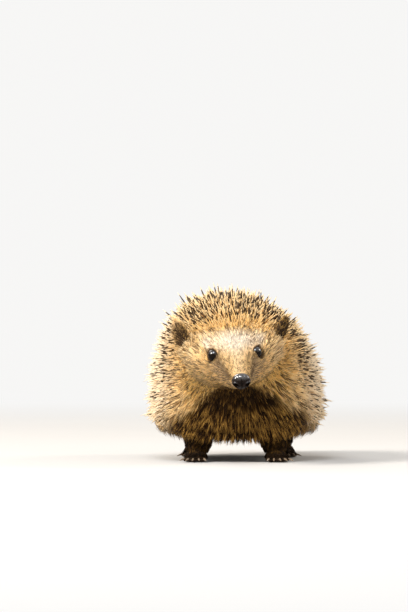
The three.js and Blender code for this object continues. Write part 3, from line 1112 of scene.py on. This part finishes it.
def grow_fur(ground, tips_reach):
    """All the hairs: laid along the skin or hanging free, drawn into locks and held to the outline."""
    roots, normals = ground.scatter(fur_density)
    length = fur_length(roots, normals)
    height = fur_height(roots, normals, length)
    way = combed(roots, normals)
    run = np.sqrt(np.maximum(length**2 - height**2, 0.1))[:, None]
    throat, chin = under_face(roots, normals)
    hang = hanging(roots, normals, throat)
    places, out = tips_reach.nearest(roots)
    outside = rise(dot(roots - places, out), -1.5, 0)  # on ears and limbs, clear of the body
    fringe = outside * fall(ear_gap(roots), 13, 16)
    lie = free_ways(roots, normals, way, hang + 0.3 * throat, fringe)
    free = roots + lie * run + normals * (1.5 * hang)[:, None]
    height = height * (1 + 0.8 * chin)
    laid = laid_tips(ground, normals, roots + way * run, height)
    tips = mix(laid, free, np.maximum(hang, fringe)[:, None])
    tips, tones = in_locks(roots, tips, length)
    room = draw.normal(0.3, 0.7, len(roots)) + 5 * hang + 1.2 * chin + 90 * outside
    tips = clear_cups(roots, normals, tips_reach.hold_in(tips, room))
    knees = roots + normals * (0.65 * height)[:, None] + (tips - roots) * 0.38
    widths = np.interp(distance(roots, NOSE), *FUR_WIDTH) * draw.uniform(0.75, 1.2, len(roots))
    return Strands(roots, normals, knees, tips, HAIR_WIDER * widths, tones)


def make_fur(ground, tips_reach):
    fur, finish = grow_fur(ground, tips_reach), fur_finish()
    limbs = on_leg(fur.roots) > 0.5
    under = ~limbs & (belly_share(fur.roots, fur.normals) > 0.5)
    between = ~limbs & ~under & (spiny(fur.roots) > 0.5)
    rest, near = ~(limbs | under | between), distance(fur.roots, NOSE) < FACE_REACH
    regions = {
        "fur_legs": ("leg_fur", limbs, SHORT_HAIR),
        "fur_belly": ("leg_fur", under, SHORT_HAIR),
        "fur_between_spines": ("spiny_coat", between, SHORT_HAIR),
        "fur_face": ("face_fur", rest & near, SHORT_HAIR),
        "fur_sides": ("throat_fur", rest & ~near, HAIR),
    }
    for name, (slot, chosen, profile) in regions.items():
        add_strands(name, finish, fur.some(chosen), profile, 3, 0.25)


def fur_finish():
    f = Finish("fur", 0.6, Specular_IOR_Level=0.1)
    colour, tip, bare_and_shade = coat_colour(f)
    pale, smudge_and_shade, chest = f.numbers("markings_and_shade")
    along, tone = f.number("along"), f.number("tone")
    colour = f.blend(colour, HIDE, bare_and_shade * (0.96 - 0.35 * f.ramp(tone, 0.5, 1.0)))
    colour = f.shade(colour, 0.25 + 0.4 * pale + (0.83 - 0.4 * pale) * f.ramp(tone, 0.0, 0.8))
    smoky = (1 - f.ramp(tone, 0.17, 0.29)) * (0.85 - 0.6 * pale) * (1 - chest)
    colour = f.blend(colour, SMOKE, smoky)
    # Painted shade, with the darker bases of ticked hairs: each hair darker towards its root, deep in
    # the coat.
    colour = f.shade(colour, 0.24 + 0.3 * pale + (0.81 - 0.3 * pale) * f.ramp(along, 0.0, 0.5))
    tips = 0.8 * tone * (1 - chest) * (1 - 0.5 * smudge_and_shade) + 1.05 * f.ramp(tone, 0.36, 0.96) * chest
    tipped = tips * f.ramp(along, 0.4, 0.95) * (1 - bare_and_shade)
    f.into("Base Color", f.blend(colour, tip, tipped))
    return f.material


SPINE = [(0, 0.4), (0.08, 0.9), (0.4, 1), (0.68, 0.82), (0.88, 0.42), (1, 0)]
SPINE_HALF = 0.62  # half the thickness of the stoutest
SPINES_EACH = 0.26  # to the square millimetre of skin
# Millimetres behind the front edge of the spines, and the longest that they are there.
SPINE_LONGEST = ([-4, 4, 14, 30, 60], [9, 12, 16, 19, 22])
SPINE_SHORTEST = 6
SPINE_SWAY = 0.19  # how far a spine strays from the way of those round it
STANDING, PROUD = 0.35, 0.12  # the shares that reach the outline, and that stand out past it


def spine_density(p, n):
    density = SPINES_EACH * (1 + 0.5 * fall(behind_edge(p), 4, 20))
    return SPINES_SHARE * density * (spiny(p) * rise(ear_gap(p), 9.5, 12))


def stand_of_spines(p, n):
    """Which way the spines point: raised like a ruff round the face, and laid back behind it."""
    core = np.interp(p[:, 1], *MIDLINE)[:, None] * (1, 0, 0) + (0, 0, SPINES_HEART)
    spread = (p - core) * (1, 0, 0.85)
    ruff = unit(unit(spread) + 0.25 * n)
    laid = unit(0.72 * lie_of_coat(p, n) + 0.68 * n)
    return unit(mix(laid, ruff, fall(behind_edge(p), 20, 75)[:, None]))


def spine_lengths(roots, way, tips_reach):
    """How long the spines are, and which of them stand out beyond the rest."""
    count = len(roots)
    longest = np.interp(behind_edge(roots), *SPINE_LONGEST) * draw.uniform(0.85, 1.1, count)
    length = np.minimum(tips_reach.reach(roots, way, 30), longest)
    stands = draw.random(count) < STANDING  # the rest end below the outline
    length += np.where(stands, draw.normal(1.2, 1.4, count), draw.normal(-2.0, 1.0, count))
    proud = draw.random(count) < PROUD
    length += proud * draw.uniform(1.5, 5.5, count)
    return np.maximum(length, SPINE_SHORTEST), proud


def make_spines(ground, tips_reach):
    roots, normals = ground.scatter(spine_density)
    count, behind = len(roots), behind_edge(roots)
    way = unit(stand_of_spines(roots, normals) + draw.normal(0, SPINE_SWAY, (count, 3)))
    length, proud = spine_lengths(roots, way, tips_reach)
    room = draw.normal(0.8, 1.5, count) + 4.5 * proud
    tips = tips_reach.hold_in(roots + way * length[:, None], room)
    knees = (roots + tips) / 2 - across(way, normals) * (0.05 * length)[:, None]
    widths = SPINE_HALF * np.interp(behind, [0, 24], [0.5, 1])
    widths *= draw.uniform(0.85, 1.1, count)
    # Near the front edge and low down, more of them have no dark band; on the right flank fewer of them
    # have one, which is painted sunlight on that side.
    bandless_and_sunlit = 0.65 * fall(roots[:, 2], 45, 75) * fall(behind, 20, 45)
    bandless_and_sunlit = np.maximum(bandless_and_sunlit, 0.5 * fall(roots[:, 0], -48, -28) * fall(behind, 25, 60))
    tones = draw.random(count) ** (1 - bandless_and_sunlit)
    spines = Strands(roots, normals, knees, tips, widths, tones)
    add_strands("spines", spine_finish(), spines, SPINE, 5, depth=0.8)


def spine_finish():
    f = Finish("banded_spines", 0.42, Specular_IOR_Level=0.2)
    along, tone = f.number("along"), f.number("tone")
    straw, crown, _ = f.numbers("grounds")
    base = f.blend(f.blend(SHAFTS[0], SHAFTS[1], straw), SHAFTS[2], crown)
    # Painted shade: each spine darker towards its root, deep among the others.
    deep = f.ramp(along, 0.05 * straw, 0.5)
    base = f.shade(base, 0.27 - 0.1 * straw + (0.70 + 0.1 * straw) * deep)
    # The dark band lies below a pale tip; some spines have none.
    place = along + 0.16 * tone + 0.07 * straw
    band = f.ramp(place + 0.07 * (1 - straw), 0.64, 0.70)
    band = band * (1 - f.ramp(place, 0.86, 0.92))
    band = band * (1 - (tone > 0.82 - 0.1 * straw)) * (1 - 0.7 * f.ramp(crown, 0.5, 1.0))
    tip = f.blend(f.blend(SPINE_TIPS[0], SPINE_TIPS[1], straw), SPINE_TIPS[2], crown)
    colour = f.blend(base, tip, f.ramp(along, 0.55, 0.85))
    f.into("Base Color", f.blend(colour, BAND, 0.95 * band))
    return f.material


# Whiskers ------------------------------------------------------------------------------------------

WHISKER = [(0, 1), (0.25, 0.85), (0.5, 0.65), (0.75, 0.4), (0.9, 0.2), (1, 0)]
WHISKER_HALF = 0.13


def make_whiskers(ground):
    """Three rows of dark bristles on each side of the muzzle."""
    starts, ends = [], []
    for k in SIDES.values():
        for row in range(3):
            for place in range(5):
                back, up = 5 + 2.7 * place + draw.uniform(-0.6, 0.6), -0.5 - 2.4 * row
                starts.append(on_face(k * (5.5 + 0.42 * back), back, up))
                back_way, up_way = 0.25 + 0.12 * place, 0.15 - 0.32 * row
                way = unit(LEFT * k - AHEAD * back_way + UP * up_way)
                way = unit(way + draw.normal(0, 0.1, 3))
                ends.append(starts[-1] + way * (9 + 1.0 * place) * draw.uniform(0.8, 1.15))
    roots, normals = ground.nearest(np.array(starts))
    tips = np.array(ends) + roots - starts
    knees = (roots + tips) / 2 + normals * 1.2 + UP * 0.8
    widths, tones = np.full(len(roots), WHISKER_HALF), draw.random(len(roots))
    whiskers = Strands(roots, normals, knees, tips, widths, tones)
    add_strands("whiskers", bristle_finish(), whiskers, WHISKER, 5)


def bristle_finish():
    f = Finish("whisker", 0.4)
    along, tone = f.number("along"), f.number("tone")
    dark = f.blend(*BRISTLE_TINTS, tone)
    f.into("Base Color", f.blend(dark, BRISTLE_TIP, 0.6 * f.ramp(along, 0.5, 1.0)))
    return f.material


# Camera, light and floor ---------------------------------------------------------------------------

CAMERA = (-21.84, -2401.2, 101.6)
CAMERA_RANGE = 2400
PICTURE_TALL = 404  # millimetres that the camera takes in at the animal
SENSOR = 36
PAPER = (0.93, 0.925, 0.915)  # what the camera sees behind the animal and far from it
FADE = (0.35, 1.5)  # metres from the animal over which the floor turns into that
FLOOR = ((0.58, 0.57, 0.56), (0.61, 0.60, 0.59))  # its faint mottle, as the camera sees it
FLOOR_LIGHT = (0.42, 0.41, 0.40)  # its colour for the light that it throws back
SKY = ((1.0, 0.97, 0.92), 0.43)  # colour and strength of the light from all round
# Each lamp's place in metres, the height that it aims at, its width, power and colour.
LAMPS = {
    "key": ((-1.7, -1.1, 1.6), 0.05, 0.9, 76, (1, 0.94, 0.86)),
    "fill": ((1.6, -1.6, 0.9), 0.05, 1.2, 7, (1, 0.95, 0.88)),
    "overhead": ((-0.3, -1.4, 1.8), 0.05, 1.1, 27, (0.87, 0.93, 1.0)),
    "rim": ((-0.9, 1.5, 1.5), 0.08, 0.9, 12, (1, 0.93, 0.82)),
    "side_rim": ((1.7, 0.5, 1.2), 0.06, 0.8, 15, (1, 0.91, 0.80)),
}


def make_camera():
    lens = bpy.data.cameras.new("camera")
    lens.lens = SENSOR * CAMERA_RANGE / PICTURE_TALL
    lens.clip_start, lens.clip_end = 0.1, 30
    camera = link_object("camera", lens)
    camera.location = Vector(CAMERA) * MM
    camera.rotation_euler = (math.radians(90), 0, 0)
    bpy.context.scene.camera = camera


def make_light(name, place, aim, size, power, colour):
    lamp = bpy.data.lights.new(name, "AREA")
    lamp.shape, lamp.size, lamp.energy, lamp.color = "DISK", size, power, colour
    holder = link_object(name, lamp)
    holder.location = place
    way = Vector((0, 0, aim)) - Vector(place)
    holder.rotation_euler = way.to_track_quat("-Z", "Y").to_euler()


def seen(f):
    """1 for what the camera, a reflection or a clear thing looks at, 0 for what only gets light."""
    path = f.node("LightPath").socket.node
    rays = [Value(f, path.outputs[name]) for name in ("Is Camera Ray", "Is Glossy Ray")]
    return rays[0] + rays[1] + Value(f, path.outputs["Is Transmission Ray"])


def paper_finish():
    """Pale paper that keeps the shadow, and far off has the background's own brightness."""
    f = Finish("pale_paper", 0.9, Specular_IOR_Level=0.1)
    f.into("Base Color", f.blend(FLOOR_LIGHT, f.blend(*FLOOR, f.noise(5)), seen(f)))
    away = f.node("VectorMath", {"operation": "LENGTH"}, {0: f.place()}, out="Value")
    far = f.ramp(away, *FADE) * seen(f)
    glow = f.node("Emission", None, {"Color": PAPER, "Strength": 1.0})
    both = f.node("MixShader", None, {0: far, 1: Value(f, f.shader.outputs[0]), 2: glow})
    f.feed(f.tree.nodes["Material Output"].inputs["Surface"], both)
    return f.material


def make_floor():
    sheet = bmesh.new()
    bmesh.ops.create_circle(sheet, cap_ends=True, segments=96, radius=14)
    mesh = mesh_from(sheet, "floor")
    mesh.materials.append(paper_finish())
    floor = link_object("floor", mesh)


def make_world():
    world = bpy.data.worlds.new("studio")
    bpy.context.scene.world = world
    f = Nodes(world)
    colour, strength = SKY
    back, shown = f.tree.nodes["Background"], seen(f)
    f.feed(back.inputs["Color"], f.blend(colour, PAPER, shown))
    f.feed(back.inputs["Strength"], strength + (1 - strength) * shown)


def put_horn_on_claws():
    horn = claw_finish()
    for name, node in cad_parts.items():
        if name.startswith("claw_"):
            node.data.materials.clear()
            node.data.materials.append(horn)


make_camera()
make_world()
make_floor()
for name, lamp in LAMPS.items():
    make_light(name, *lamp)
bpy.context.scene.view_settings.view_transform = "Standard"

wet_black = eye_finish()
for side in SIDES:
    make_eye(side, wet_black)
make_nose()
outline = body_outline()
skin = make_skin(outline)
put_horn_on_claws()
ground, tips_reach = Surface(skin), Surface(outline)
make_fur(ground, tips_reach)
make_spines(ground, tips_reach)
make_whiskers(ground)
bpy.data.meshes.remove(outline)
